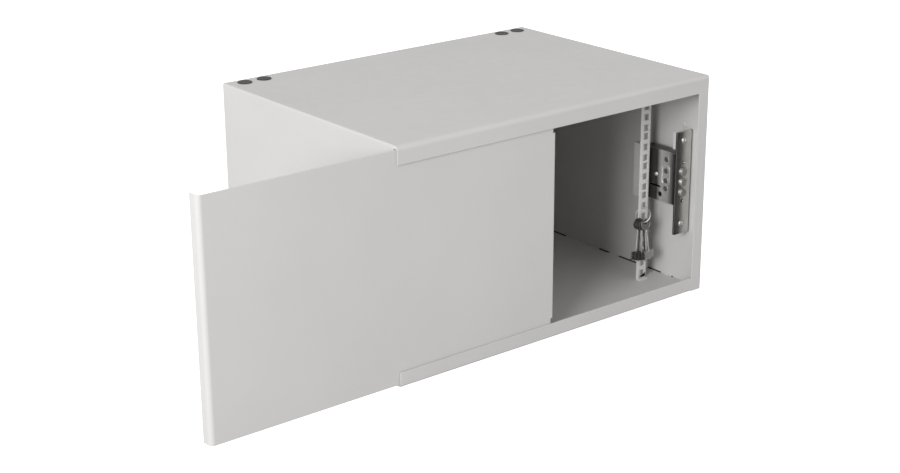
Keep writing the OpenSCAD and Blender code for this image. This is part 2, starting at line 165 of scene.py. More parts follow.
def lathe(profile, origin, direction, name="lathe", steps=48):
    """Closed solid of revolution. The profile is (radius, height) from the axis back to the axis."""
    turn = Vector((0, 0, 1)).rotation_difference(Vector(direction)).to_matrix()
    bm = bmesh.new()
    rings = []
    for radius, height in profile:
        if radius < 1e-6:
            rings.append([bm.verts.new(Vector(origin) + turn @ Vector((0, 0, height)))])
            continue
        rings.append([bm.verts.new(Vector(origin) + turn @ Vector((p.x, p.y, height)))
                      for p in circle((0, 0), radius, steps)])
    for a, b in zip(rings, rings[1:]):
        for k in range(steps):
            low = [a[k - 1], a[k]] if len(a) > 1 else a
            high = [b[k], b[k - 1]] if len(b) > 1 else b
            bm.faces.new(low + high)
    bmesh.ops.recalc_face_normals(bm, faces=bm.faces)
    return new_object(name, bm)


def rod(origin, direction, radius, lo, hi, steps=48):
    return lathe([(0, lo), (radius, lo), (radius, hi), (0, hi)], origin, direction, "rod", steps)


def merged(objects, name="merged"):
    """One object from several, which are used up."""
    bm = bmesh.new()
    for obj in objects:
        bm.from_mesh(obj.data)
        bpy.data.objects.remove(obj)
    return new_object(name, bm)


def bake_modifiers(obj):
    bpy.context.view_layer.update()
    depsgraph = bpy.context.evaluated_depsgraph_get()
    mesh = bpy.data.meshes.new_from_object(obj.evaluated_get(depsgraph))
    obj.modifiers.clear()
    obj.data = mesh


def boolean(obj, others, operation):
    other = merged(others)
    mod = obj.modifiers.new("boolean", "BOOLEAN")
    mod.operation, mod.solver, mod.object = operation, "EXACT", other
    mod.use_self = len(others) > 1
    bake_modifiers(obj)
    bpy.data.objects.remove(other)
    return obj


def cut(obj, *others):
    return boolean(obj, others, "DIFFERENCE")


def add(obj, *others):
    return boolean(obj, others, "UNION")


def common(obj, other):
    return boolean(obj, [other], "INTERSECT")


def score(obj, axis, heights):
    """Splits the faces along planes, so that a hole on such a plane leaves two plain notches."""
    normal = Vector((axis == "x", axis == "y", axis == "z"))
    bm = bmesh.new()
    bm.from_mesh(obj.data)
    for h in heights:
        geom = bm.verts[:] + bm.edges[:] + bm.faces[:]
        bmesh.ops.bisect_plane(bm, geom=geom, dist=1e-5, plane_co=normal * h, plane_no=normal)
    bm.to_mesh(obj.data)
    bm.free()


def place(obj, name, body, nodes, mats, edge=EDGE, clean=True, dissolve=True):
    """Finishes a piece: metres, rounded edges, its body, the CAD nodes it stands for and its material."""
    obj.name = obj.data.name = name
    if clean:
        bm = bmesh.new()
        bm.from_mesh(obj.data)
        bmesh.ops.remove_doubles(bm, verts=bm.verts, dist=0.003)
        if dissolve:
            bmesh.ops.dissolve_limit(bm, angle_limit=math.radians(0.4), verts=bm.verts, edges=bm.edges)
        bm.to_mesh(obj.data)
        bm.free()
    obj.data.transform(Matrix.Scale(MM, 4))
    obj.data.materials.clear()
    for mat in mats if isinstance(mats, (list, tuple)) else [mats]:
        obj.data.materials.append(mat)
    if edge:
        mod = obj.modifiers.new("edge", "BEVEL")
        mod.width, mod.segments = edge * MM, 2
        mod.limit_method, mod.angle_limit = "ANGLE", math.radians(35)
        mod.use_clamp_overlap = False
        mod.miter_outer = "MITER_SHARP"
    for poly in obj.data.polygons:
        poly.use_smooth = True
    obj.data.set_sharp_from_angle(angle=math.radians(50))
    mod = obj.modifiers.new("flat_faces", "WEIGHTED_NORMAL")
    mod.keep_sharp, mod.weight = True, 100
    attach(obj, body)
    if nodes:
        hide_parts(*nodes)
    return obj


# ---------------------------------------------------------------- materials

def new_material(name, colour, roughness, metallic=0.0):
    mat = bpy.data.materials.new(name)
    mat.use_nodes = True
    shader = mat.node_tree.nodes["Principled BSDF"]
    shader.inputs["Base Color"].default_value = (*colour, 1)
    shader.inputs["Roughness"].default_value = roughness
    shader.inputs["Metallic"].default_value = metallic
    return mat, mat.node_tree, shader


def noise(tree, scale, detail=2.0, stretch=(1, 1, 1)):
    """Noise in the object's own coordinates; scale is in cells to a metre."""
    coord = tree.nodes.new("ShaderNodeTexCoord")
    mapping = tree.nodes.new("ShaderNodeMapping")
    mapping.inputs["Scale"].default_value = stretch
    tex = tree.nodes.new("ShaderNodeTexNoise")
    tex.inputs["Scale"].default_value = scale
    tex.inputs["Detail"].default_value = detail
    tree.links.new(coord.outputs["Object"], mapping.inputs["Vector"])
    tree.links.new(mapping.outputs["Vector"], tex.inputs["Vector"])
    return tex.outputs["Fac"]


def ramp(tree, value, lo, hi, start=0.3, end=0.7):
    """Maps a value from start..end to lo..hi."""
    node = tree.nodes.new("ShaderNodeMapRange")
    node.inputs["From Min"].default_value, node.inputs["From Max"].default_value = start, end
    node.inputs["To Min"].default_value, node.inputs["To Max"].default_value = lo, hi
    tree.links.new(value, node.inputs["Value"])
    return node.outputs["Result"]


def math_node(tree, operation, a, b=0.0):
    node = tree.nodes.new("ShaderNodeMath")
    node.operation = operation
    for socket, value in zip(node.inputs, (a, b)):
        if isinstance(value, bpy.types.NodeSocket):
            tree.links.new(value, socket)
        else:
            socket.default_value = value
    return node.outputs[0]


def outside(tree, axis, start, full, fade, end):
    """0 from full to fade along an axis of the object, 1 before start and after end, in millimetres."""
    split = tree.nodes.new("ShaderNodeSeparateXYZ")
    tree.links.new(tree.nodes.new("ShaderNodeTexCoord").outputs["Object"], split.inputs[0])
    before = ramp(tree, split.outputs[axis], 1, 0, start * MM, full * MM)
    after = ramp(tree, split.outputs[axis], 0, 1, fade * MM, end * MM)
    return math_node(tree, "MAXIMUM", before, after)


def tint(tree, mask, under, over):
    """Colour that goes from under to over with the mask; under may be a socket."""
    node = tree.nodes.new("ShaderNodeMix")
    node.data_type = "RGBA"
    tree.links.new(mask, node.inputs["Factor"])
    if isinstance(under, bpy.types.NodeSocket):
        tree.links.new(under, node.inputs["A"])
    else:
        node.inputs["A"].default_value = (*under, 1)
    node.inputs["B"].default_value = (*over, 1)
    return node.outputs["Result"]


def bump(tree, shader, height, distance, strength=1.0, below=None):
    node = tree.nodes.new("ShaderNodeBump")
    node.inputs["Distance"].default_value = distance
    node.inputs["Strength"].default_value = strength
    tree.links.new(height, node.inputs["Height"])
    if below:
        tree.links.new(below, node.inputs["Normal"])
    tree.links.new(node.outputs["Normal"], shader.inputs["Normal"])
    return node.outputs["Normal"]


def edge_mask(tree, radius):
    """1 within about radius of a sharp edge, 0 on open faces."""
    rounded = tree.nodes.new("ShaderNodeBevel")
    rounded.samples = 4
    rounded.inputs["Radius"].default_value = radius
    plain = tree.nodes.new("ShaderNodeNewGeometry")
    dot = tree.nodes.new("ShaderNodeVectorMath")
    dot.operation = "DOT_PRODUCT"
    tree.links.new(rounded.outputs["Normal"], dot.inputs[0])
    tree.links.new(plain.outputs["Normal"], dot.inputs[1])
    return ramp(tree, dot.outputs["Value"], 1, 0, 0.85, 0.99)


def shade(colour, factor):
    return tuple(c * factor for c in colour)


def powder_coat(name, colour):
    """Baked powder paint: orange peel, faint clouding, and a paler line along sharp edges."""
    mat, tree, shader = new_material(name, colour, 0.5)
    clouds = ramp(tree, noise(tree, 9, 3), 0, 1)
    base = tint(tree, clouds, shade(colour, 0.985), shade(colour, 1.015))
    grains = ramp(tree, noise(tree, 1400, 1), 0, 0.5, 0.55, 0.75)
    base = tint(tree, grains, base, shade(colour, 0.93))
    base = tint(tree, edge_mask(tree, 0.0007), base, shade(colour, 1.16))
    tree.links.new(base, shader.inputs["Base Color"])
    tree.links.new(ramp(tree, noise(tree, 60, 4), 0.44, 0.54), shader.inputs["Roughness"])
    peel = bump(tree, shader, noise(tree, 420, 2), 0.00006, 0.5)
    bump(tree, shader, noise(tree, 1600, 1), 0.00002, 0.4, peel)
    shader.inputs["Specular IOR Level"].default_value = 0.4
    return mat


def metal(name, colour, roughness, grain, edge_wear_and_glint=1.25, cloud=0.12, painted_reflection_band=None, painted_reflection_factor=1.0):
    """Plated or unplated steel: brushed grain along one axis, clouded plating, and brighter edges, from
    wear and on the shaded keys a painted highlight.

    The band argument is an axis and four places along it: outside them the colour is darkened by the factor
    after it, a painted reflection.
    """
    mat, tree, shader = new_material(name, colour, roughness, 1.0)
    clouds = ramp(tree, noise(tree, 70, 5), 0, 1, 0.35, 0.65)
    base = tint(tree, clouds, shade(colour, 1 - cloud), shade(colour, 1 + cloud))
    lines = noise(tree, 2600, 3, grain)
    base = tint(tree, ramp(tree, lines, 0, 0.5, 0.4, 0.8), base, shade(colour, 0.8))
    # painted reflection: outside the band the colour is darkened by a factor
    if painted_reflection_band:
        base = tint(tree, outside(tree, *painted_reflection_band), base, shade(colour, painted_reflection_factor))
    # brighter sharp edges: wear, and on the shaded keys a painted highlight
    base = tint(tree, edge_mask(tree, 0.0005), base, tuple(min(1, c * edge_wear_and_glint) for c in colour))
    tree.links.new(base, shader.inputs["Base Color"])
    tree.links.new(ramp(tree, lines, roughness - 0.07, roughness + 0.09), shader.inputs["Roughness"])
    bump(tree, shader, lines, 0.00003, 0.35)
    return mat


def moulded_plastic(name, colour):
    mat, tree, shader = new_material(name, colour, 0.55)
    base = tint(tree, ramp(tree, noise(tree, 300, 3), 0, 1), shade(colour, 0.85), shade(colour, 1.2))
    tree.links.new(base, shader.inputs["Base Color"])
    tree.links.new(ramp(tree, noise(tree, 500, 3), 0.48, 0.62), shader.inputs["Roughness"])
    bump(tree, shader, noise(tree, 2200, 2), 0.00003, 0.5)
    return mat


ALONG_Z = (1, 1, 0.04)
ALL_WAYS = (1, 1, 1)
paint = powder_coat("powder_coat_grey", (0.500, 0.494, 0.484))
# a lighter copy of the grey paint for the floor's inside face, painted light
lit_floor_paint = powder_coat("powder_coat_grey_lit_floor", (0.570, 0.563, 0.552))
rail_paint = powder_coat("rail_paint_grey", (0.640, 0.635, 0.624))
# a darker copy of the grey paint for the rail brackets, painted shade
shaded_bracket_paint = powder_coat("bracket_paint_shaded", (0.480, 0.475, 0.467))
plate_lo, plate_hi = span("lock_face_plate")
# painted reflection: the face plate's left part is darkened, as if it mirrored the dark inside
plating = metal("plated_steel", (0.62, 0.61, 0.59), 0.16, ALONG_Z, cloud=0.06,
                painted_reflection_band=("X", plate_lo.x - 1, plate_lo.x + 12, plate_hi.x + 10, plate_hi.x + 20), painted_reflection_factor=0.34)
bolt_steel = metal("bolt_steel", (0.56, 0.55, 0.53), 0.50, ALL_WAYS)
screw_steel = metal("screw_steel", (0.92, 0.91, 0.89), 0.34, ALL_WAYS)
case_steel = metal("dark_case_steel", (0.15, 0.148, 0.143), 0.42, ALL_WAYS, 1.6, 0.25)
rivets_y = plate_lo.y + 24.4
# painted reflection on the cover: a bright band round the rivets, the rest darkened to a tenth
cover_steel = metal("cover_steel_painted_reflection", (0.84, 0.83, 0.81), 0.50, ALONG_Z, 1.1, 0.03,
                    ("Y", rivets_y - 15, rivets_y - 4, rivets_y + 10, rivets_y + 18), 0.10)
rivet_steel = metal("rivet_steel", (0.30, 0.296, 0.288), 0.42, ALL_WAYS)
key_steel = metal("key_steel", (0.30, 0.294, 0.284), 0.40, ALL_WAYS, 2.2, 0.15)
# a darker copy of the key steel for the keys behind the front one, painted shade, with its edges brightened
# strongly as a painted highlight
shaded_key_steel = metal("shaded_key_steel", (0.12, 0.117, 0.112), 0.45, ALL_WAYS, 4.5, 0.15)
shank_steel = metal("key_shank_steel", (0.86, 0.85, 0.83), 0.30, ALL_WAYS)
wire_steel = metal("ring_wire_steel", (0.72, 0.71, 0.69), 0.42, ALL_WAYS)
spring_steel = metal("spring_steel", (0.42, 0.40, 0.37), 0.30, ALL_WAYS)
brass = metal("lever_brass", (0.72, 0.52, 0.22), 0.30, ALL_WAYS)
plug_plastic = moulded_plastic("plug_plastic", (0.020, 0.020, 0.022))
# near black, painted shade in the floor's weld gaps
gap_shade_black = moulded_plastic("painted_gap_shade", (0.012, 0.011, 0.010))


# ---------------------------------------------------------------- cabinet

TOP_LIP = 24.0
RIGHT_FLANGE = 20.5
SLIT_DEPTH = 7.5        # how far back the door slot reaches into the left wall
SLOT_DEPTH = 20.0       # and where the door's right fold passes
SLOT_GAP = 3.0          # left below the slit
SLOT_TOP_GAP = 4.2      # and above it
NOTCH = 5.0             # width of the corners cut from the door's right end
FOLD_CLEAR = 7.0        # from the lips' inner edges to the door's right fold

shell_lo, shell_hi = span("outer_shell")
lip_top = span("floor_panel")[1].z
opening_top = shell_hi.z - TOP_LIP
opening_right = shell_hi.x - RIGHT_FLANGE
wall_x = shell_hi.x - SHEET             # inner face of the right wall


def folded_block(lo, hi, inset):
    """The cabinet's outside, or its inside when inset is the sheet's thickness."""
    side, soft, flange = BEND - inset, SOFT_BEND - inset, FLANGE_BEND - inset
    solid = prism(rectangle((lo.x, lo.z), (hi.x, hi.z), (0, 0, side, side)), "y", lo.y, hi.y)
    common(solid, prism(rectangle((lo.y, lo.z), (hi.y, hi.z), (0, 0, 0, soft)), "x", lo.x - 1, hi.x + 1))
    common(solid, prism(rectangle((lo.x, lo.y), (hi.x, hi.y), (0, flange, 0, 0)), "z", lo.z - 1, hi.z + 1))
    return solid


def outer_shell():
    inset = Vector((SHEET, SHEET, SHEET))
    shell = folded_block(shell_lo, shell_hi, 0)
    inside_lo = shell_lo + inset - Vector((0, 0, PAST + SHEET))
    inside_hi = shell_hi - inset + Vector((0, PAST + SHEET, 0))
    cut(shell, folded_block(inside_lo, inside_hi, SHEET))
    cut(shell, block((shell_lo.x - PAST, shell_lo.y + SHEET, SLOT_GAP),
                     (shell_lo.x + 2 * SHEET, shell_lo.y + SLIT_DEPTH, shell_hi.z - SLOT_TOP_GAP)))
    cut(shell, block((shell_lo.x - PAST, shell_lo.y + 2 * SHEET, lip_top + FOLD_CLEAR - 2),
                     (shell_lo.x + 2 * SHEET, shell_lo.y + SLOT_DEPTH, opening_top - FOLD_CLEAR + 2)))
    cutters = [block((shell_lo.x - PAST, shell_lo.y - PAST, -PAST),
                     (opening_right, shell_lo.y + 2 * SHEET, opening_top))]
    for i in range(1, 5):
        lo, hi = span(f"cable_plug_{i}")
        centre = (lo + hi) / 2
        cutters.append(rod((centre.x, centre.y, shell_hi.z), (0, 0, 1), 9, -PAST, PAST))
    lo, hi = span("lock_key_guide")
    key = (lo + hi) / 2
    cutters.append(rod((wall_x, key.y, key.z), (1, 0, 0), 3, -PAST, PAST, 24))
    cutters.append(block((wall_x - PAST, key.y - 1.5, key.z - 8), (wall_x + PAST, key.y + 1.5, key.z + 8)))
    cut(shell, *cutters)
    place(shell, "outer_shell_sheet", "housing", ["outer_shell"], paint)


WELD_GAPS = [(55, 3), (80, 28), (132, 38), (192, 22), (290, 30)]     # start behind the front, length
WELD_GAP_W = 2.0
GAP_SHADE_BOTTOM, GAP_SHADE_TOP = 0.05, SHEET + 1.1       # heights of the near-black strips on the wall in the gaps, painted shade
GAP_SHADE_DEPTH = 0.2
FIX_X, FIX_Z, FIX_R = 200, 100, 5               # the wall-fixing holes, from the middle of the back


def floor_panel():
    lo, hi = span("floor_panel")
    path = [(lo.y + SHEET / 2, lip_top), (lo.y + SHEET / 2, SHEET / 2), (hi.y, SHEET / 2)]
    floor = prism(folded(path, BEND), "x", lo.x, wall_x)
    # the lip ends at the right flange
    cut(floor, block((opening_right, lo.y - PAST, -PAST), (wall_x + PAST, lo.y + SHEET, lip_top + PAST)))
    cut(floor, block((opening_right, lo.y - PAST, SHEET), (wall_x + PAST, lo.y + 2 * BEND, lip_top + PAST)))
    cut(floor, block((lo.x - PAST, lo.y + SHEET, -PAST), (lo.x + SHEET, hi.y + PAST, SHEET + 0.01)))
    cutters = []
    for start, length in WELD_GAPS:
        for edge_x, way in ((wall_x, -1), (lo.x + SHEET, 1)):
            x0, x1 = sorted((edge_x - way * PAST, edge_x + way * WELD_GAP_W))
            cutters.append(block((x0, lo.y + start, -PAST), (x1, lo.y + start + length, PAST)))
    score(floor, "y", [lo.y + start + length * k for start, length in WELD_GAPS for k in (0, 1)])
    cut(floor, *cutters)
    place(floor, "floor_sheet", "housing", ["floor_panel"], [paint, lit_floor_paint],
          dissolve=False)
    # the floor's upper face inside takes the lighter copy, painted light
    for poly in floor.data.polygons:
        poly.material_index = int(poly.normal.z > 0.9 and poly.center.z < 2 * SHEET * MM)
    # near-black strips on the wall in each gap: painted shade where the gap looks into the dark below
    gap_shade_strips = []
    for start, length in WELD_GAPS:
        for x, way in ((wall_x, 1), (-wall_x, -1)):
            x0, x1 = sorted((x, x - way * GAP_SHADE_DEPTH))
            gap_shade_strips.append(block((x0, lo.y + start, GAP_SHADE_BOTTOM), (x1, lo.y + start + length, GAP_SHADE_TOP)))
    place(merged(gap_shade_strips), "floor_gap_shade_strips", "housing", [], gap_shade_black, edge=0)


def back_panel():
    lo, hi = span("back_panel")
    inner = BEND - SHEET
    back = prism(rectangle((lo.x, lo.z), (hi.x, hi.z), (0, 0, inner, inner)), "y", lo.y, hi.y)
    mid_z = (shell_lo.z + shell_hi.z) / 2
    cut(back, *[rod((x, hi.y, mid_z + z), (0, 1, 0), FIX_R, -PAST, PAST)
                for x in (-FIX_X, FIX_X) for z in (-FIX_Z, FIX_Z)])
    place(back, "back_sheet", "housing", ["back_panel"], paint)


def door_guides():
    for node, way in (("lower_door_guide", 1), ("upper_door_guide", -1)):
        lo, hi = span(node)
        base, tip = (lo.z, hi.z) if way > 0 else (hi.z, lo.z)
        leg_y = hi.y - SHEET / 2 if way > 0 else lo.y + SHEET / 2
        foot_y = lo.y if way > 0 else hi.y
        path = [(leg_y, tip), (leg_y, base + way * SHEET / 2), (foot_y, base + way * SHEET / 2)]
        guide = prism(folded(path, SHEET + 0.5), "x", lo.x, hi.x)
        place(guide, node + "_angle", "housing", [node], paint)


HOLE = 9.5
UNIT = 44.45
HOLES_IN_UNIT = (6.35, 22.225, 38.1)


def rails():
    for node, way in (("rail_right", 1), ("rail_left", -1)):
        lo, hi = span(node)
        inner, outer = (lo.x, hi.x) if way > 0 else (hi.x, lo.x)
        foot_y = lo.y
        front_y = foot_y + 5
        mid_x = (lo.x + hi.x) / 2
        path = [(inner, front_y + SHEET / 2), (outer - way * SHEET / 2, front_y + SHEET / 2),
                (outer - way * SHEET / 2, hi.y)]
        rail = prism(folded(path, SHEET + 1), "z", lo.z, hi.z)
        foot_lo, foot_hi = sorted((inner, outer - way * 2 * SHEET))
        foot = [(foot_y, lo.z + SHEET / 2), (front_y + SHEET / 2, lo.z + SHEET / 2),
                (front_y + SHEET / 2, lo.z + 8)]
        add(rail, prism(folded(foot, SHEET + 0.6), "x", foot_lo, foot_hi))
        units = int((hi.z - lo.z) / UNIT)
        z0 = (shell_hi.z - units * UNIT) / 2
        heights = [z0 + i * UNIT + h for i in range(units) for h in HOLES_IN_UNIT]
        score(rail, "z", heights)
        cutters = []
        for z in heights:
            half = HOLE / 2
            outline = rectangle((mid_x - half, z - half), (mid_x + half, z + half), (0.5,) * 4)
            cutters.append(prism(outline, "y", front_y - PAST, front_y + PAST))
        cut(rail, *cutters)
        place(rail, node + "_angle", "housing", [node], rail_paint, edge=0.2, dissolve=False)


def rail_brackets():
    for node, way in (("rail_bracket_right", 1), ("rail_bracket_left", -1)):
        lo, hi = span(node)
        near, wall = (lo.x, hi.x) if way > 0 else (hi.x, lo.x)
        half = way * SHEET / 2
        cross_y = hi.y - 16 + SHEET / 2
        path = [(near + half, lo.y), (near + half, cross_y), (wall - half, cross_y), (wall - half, hi.y)]
        bracket = prism(folded(path, SHEET + 1), "z", lo.z, hi.z)
        place(bracket, node + "_plate", "housing", [node], shaded_bracket_paint, edge=0.2)


def cable_plugs():
    for i in range(1, 5):
        node = f"cable_plug_{i}"
        lo, hi = span(node)
        centre = (lo + hi) / 2
        top = hi.z - shell_hi.z
        # a dished head on the roof, the neck in its hole, and a snap rim below the sheet
        profile = [(0, top - 0.3), (7.2, top - 0.3), (7.8, top), (9.2, top), (10.0, top - 0.2),
                   (10.4, top - 0.6), (10.5, 0), (8.95, 0), (8.95, -SHEET), (9.4, -SHEET),
                   (9.4, -SHEET - 1), (8.4, -SHEET - 2), (8.25, -SHEET - 4), (7, -SHEET - 4),
                   (7, -SHEET - 1), (0, -SHEET - 1)]
        plug = lathe(profile, (centre.x, centre.y, shell_hi.z), (0, 0, 1))
        place(plug, node + "_moulding", "housing", [node], plug_plastic, edge=0.12)


# ---------------------------------------------------------------- door

def door():
    lo, hi = span("door_panel")
    fold_z0, fold_z1 = lip_top + FOLD_CLEAR, opening_top - FOLD_CLEAR
    outer = rectangle((lo.x, lo.y), (hi.x, hi.y), (SOFT_BEND, BEND, 0, 0))
    inner = rectangle((lo.x + SHEET, lo.y + SHEET), (hi.x - SHEET, hi.y + PAST),
                      (SOFT_BEND - SHEET, BEND - SHEET, 0, 0))
    panel = prism(outer, "z", lo.z, hi.z)
    cut(panel, prism(inner, "z", lo.z - 1, hi.z + 1))
    cut(panel, *[block((hi.x - NOTCH, lo.y - PAST, z0), (hi.x + PAST, hi.y + PAST, z1))
                 for z0, z1 in ((lo.z - PAST, fold_z0), (fold_z1, hi.z + PAST))])
    place(panel, "door_sheet", "door", ["door_panel"], paint)


def door_strike():
    lo, hi = span("door_strike")
    path = [(lo.x, hi.y - SHEET / 2), (hi.x - SHEET / 2, hi.y - SHEET / 2), (hi.x - SHEET / 2, lo.y)]
    strike = prism(folded(path, SHEET + 0.5), "z", lo.z, hi.z)
    travel = door_travel()
    for name in ("upper", "middle", "lower"):
        bolt_lo, bolt_hi = span("lock_bolt_" + name)
        bolt = (bolt_lo + bolt_hi) / 2
        cut(strike, rod((bolt.x - travel, hi.y, bolt.z), (0, 1, 0), 6.5, -PAST, PAST))
    place(strike, "door_strike_angle", "door", ["door_strike"], plating, edge=0.2)


def door_travel():
    """How far the door stands open at rest, in millimetres."""
    return next(j["range_m"][1] for j in frame["joints"] if j["name"] == "door_slide") / MM


# ---------------------------------------------------------------- lock

def lock_brackets():
    for node, fold in (("lock_bracket_upper", 6), ("lock_bracket_lower", 0)):
        lo, hi = span(node)
        y, x = lo.y + SHEET / 2, hi.x - SHEET / 2
        path = [(lo.x, y), (x, y), (x, hi.y)]
        if fold:
            path = [(lo.x + SHEET / 2, lo.y + fold)] + [(lo.x + SHEET / 2, y)] + path[1:]
        bracket = prism(folded(path, SHEET + 0.6), "z", lo.z, hi.z)
        place(bracket, node + "_plate", "housing", [node], paint, edge=0.2)


def face_plate():
    lo, hi = span("lock_face_plate")
    mid = (lo + hi) / 2
    plate = prism(rectangle((lo.x, lo.z), (hi.x, hi.z), (2, 2, 2, 2)), "y", lo.y, hi.y)
    cutters = []
    bolts = [span("lock_bolt_" + name) for name in ("upper", "middle", "lower")]
    for bolt_lo, bolt_hi in bolts:
        bolt = (bolt_lo + bolt_hi) / 2
        cutters.append(rod((bolt.x, lo.y, bolt.z), (0, 1, 0), 6.05, -PAST, PAST))
    screw_lo, screw_hi = span("lock_face_screws")
    for z in (screw_lo.z + 4.7, screw_hi.z - 4.7):
        cone = [(0, -1), (4.95, -1), (4.95, 0), (2.6, 2.2), (2.6, PAST), (0, PAST)]
        cutters.append(lathe(cone, (mid.x, lo.y, z), (0, 1, 0)))
    for bolt, offset, radius in ((bolts[0], 13.5, 1.6), (bolts[2], -13, 2.4)):
        z = (bolt[0].z + bolt[1].z) / 2 + offset
        cutters.append(rod((mid.x, lo.y, z), (0, 1, 0), radius, -PAST, PAST, 24))
    cut(plate, *cutters)
    place(plate, "lock_face_plate_brushed", "housing", ["lock_face_plate"], plating,
          edge=0.35)


def face_screws():
    lo, hi = span("lock_face_screws")
    x = (lo.x + hi.x) / 2
    screws = []
    for z in (lo.z + 4.7, hi.z - 4.7):
        dome = [(0, -1.0), (1.4, -0.85), (2.6, -0.4), (3.5, 0.2), (4.1, 0.9), (4.2, 1.1), (2.5, 2.6),
                (2.5, 9), (0, 9)]
        screw = lathe(dome, (x, lo.y, z), (0, 1, 0))
        arms = [block((x - 2.6, lo.y - 1, z - 0.5), (x + 2.6, lo.y + 1.2, z + 0.5)),
                block((x - 0.5, lo.y - 1, z - 2.6), (x + 0.5, lo.y + 1.2, z + 2.6))]
        screws.append(cut(screw, *arms))
    place(merged(screws), "lock_face_screw_heads", "housing", ["lock_face_screws"],
          screw_steel, edge=0.08)


def lock_case():
    lo, hi = span("lock_case")
    case = prism(rectangle((lo.y, lo.z), (hi.y, hi.z), (0, 1.5, 1.5, 0)), "x", lo.x, hi.x)
    cut(case, block((lo.x - PAST, lo.y + SHEET, lo.z + SHEET), (hi.x - SHEET, hi.y - SHEET, hi.z - SHEET)))
    cutters = []
    for name in ("upper", "middle", "lower"):
        bolt_lo, bolt_hi = span("lock_bolt_" + name)
        bolt = (bolt_lo + bolt_hi) / 2
        cutters.append(rod((bolt.x, lo.y, bolt.z), (0, 1, 0), 6.05, -PAST, PAST))
    guide_lo, guide_hi = span("lock_key_guide")
    key = (guide_lo + guide_hi) / 2
    cutters.append(rod((hi.x, key.y, key.z), (1, 0, 0), 3, -PAST, PAST, 24))
    cutters.append(block((hi.x - PAST, key.y - 1.5, key.z - 8), (hi.x + PAST, key.y + 1.5, key.z + 8)))
    cut(case, *cutters)
    place(case, "lock_case_box", "housing", ["lock_case"], case_steel, edge=0.3)


def lock_cover():
    lo, hi = span("lock_cover")
    face_y = plate_lo.y     # the cover's marks are set out from the front of the face plate
    mid_z = shell_hi.z / 2
    cover = prism(rectangle((lo.y, lo.z), (hi.y, hi.z), (1, 1, 1, 1)), "x", lo.x, hi.x)
    guide_lo, guide_hi = span("lock_key_guide")
    key = (guide_lo + guide_hi) / 2
    slot_z = mid_z - 13.5
    slot = rectangle((face_y + 34.4, slot_z - 1.6), (face_y + 57.6, slot_z + 1.6), (1.59,) * 4)
    cut(cover, prism(slot, "x", lo.x - PAST, hi.x + PAST),
        rod((lo.x, key.y, key.z), (1, 0, 0), 4, -PAST, PAST),
        rod((lo.x, face_y + 43.4, mid_z + 4.1), (1, 0, 0), 1.8, -PAST, PAST, 24))
    # pressed rims: one round the middle rivets and a step along the cover's rear edge
    rim_outer = rectangle((face_y + 17.5, mid_z - 8), (face_y + 33, mid_z + 21), (5,) * 4)
    rim_inner = rectangle((face_y + 18.7, mid_z - 6.8), (face_y + 31.8, mid_z + 19.8), (4,) * 4)
    rim = cut(prism(rim_outer, "x", lo.x - 0.45, lo.x + 0.5),
              prism(rim_inner, "x", lo.x - PAST, lo.x + PAST))
    step_outline = rectangle((hi.y - 5, lo.z + 3), (hi.y - 3.5, hi.z - 3), (0.7,) * 4)
    step = prism(step_outline, "x", lo.x - 0.4, lo.x + 0.5)
    add(cover, rim, step)
    place(cover, "lock_cover_plate", "housing", ["lock_cover"], cover_steel, edge=0.15)

    rivets = []
    for height in (30, 12.7, -2.2, -14):
        dome = [(0, 0.05), (1.2, 0.1), (1.6, 0.35), (2.3, 0.3), (3.4, 0.12), (3.9, 0.02), (4.0, -0.2),
                (4.0, -0.6), (0, -0.6)]
        rivets.append(lathe(dome, (lo.x - 0.6, rivets_y, mid_z + height), (-1, 0, 0)))
    place(merged(rivets), "lock_cover_rivet_heads", "housing", ["lock_cover_rivets"],
          rivet_steel, edge=0)

    screw_lo, screw_hi = span("lock_cover_screw")
    centre = (screw_lo + screw_hi) / 2
    head = [(0, 1.6), (2.0, 1.55), (2.6, 1.2), (3.0, 0.5), (3.1, 0), (1.7, 0), (1.7, -6), (0, -6)]
    screw = lathe(head, (lo.x, centre.y, centre.z), (-1, 0, 0))
    cut(screw, block((lo.x - 2, centre.y - 3.5, centre.z - 0.4),
                     (lo.x - 0.9, centre.y + 3.5, centre.z + 0.4)))
    place(screw, "lock_cover_screw_head", "housing", ["lock_cover_screw"], screw_steel,
          edge=0.08)


def lock_bolts():
    for name in ("upper", "middle", "lower"):
        lo, hi = span("lock_bolt_" + name)
        mid = (lo + hi) / 2
        r = (hi.x - lo.x) / 2
        # turned end: flat, with a ring groove and a small chamfer
        profile = [(0, 0), (r - 2.1, 0), (r - 2.05, 0.5), (r - 1.5, 0.5), (r - 1.45, 0), (r - 0.6, 0),
                   (r, 0.6), (r, hi.y - lo.y), (0, hi.y - lo.y)]
        bolt = lathe(profile, (mid.x, lo.y, mid.z), (0, 1, 0))
        place(bolt, f"lock_bolt_{name}_turned", "bolts", ["lock_bolt_" + name], bolt_steel,
              edge=0)


def lock_insides():
    """Pieces inside the case keep their CAD shape."""
    finishes = {"lock_carriage": case_steel, "lock_lever_pivot": screw_steel,
                "lock_key_guide": case_steel, "lock_lever_springs": spring_steel}
    finishes.update({f"lock_lever_{i}": brass for i in range(1, 5)})
    for node, mat in finishes.items():
        mesh = frame["nodes"][node].data
        mesh.materials.clear()
        mesh.materials.append(mat)


# ---------------------------------------------------------------- keys

RING_R, RING_TILT, RING_TURN = 11.2, 30, 68
KEY_LEANS = (4, 1, -3, -6, -10)


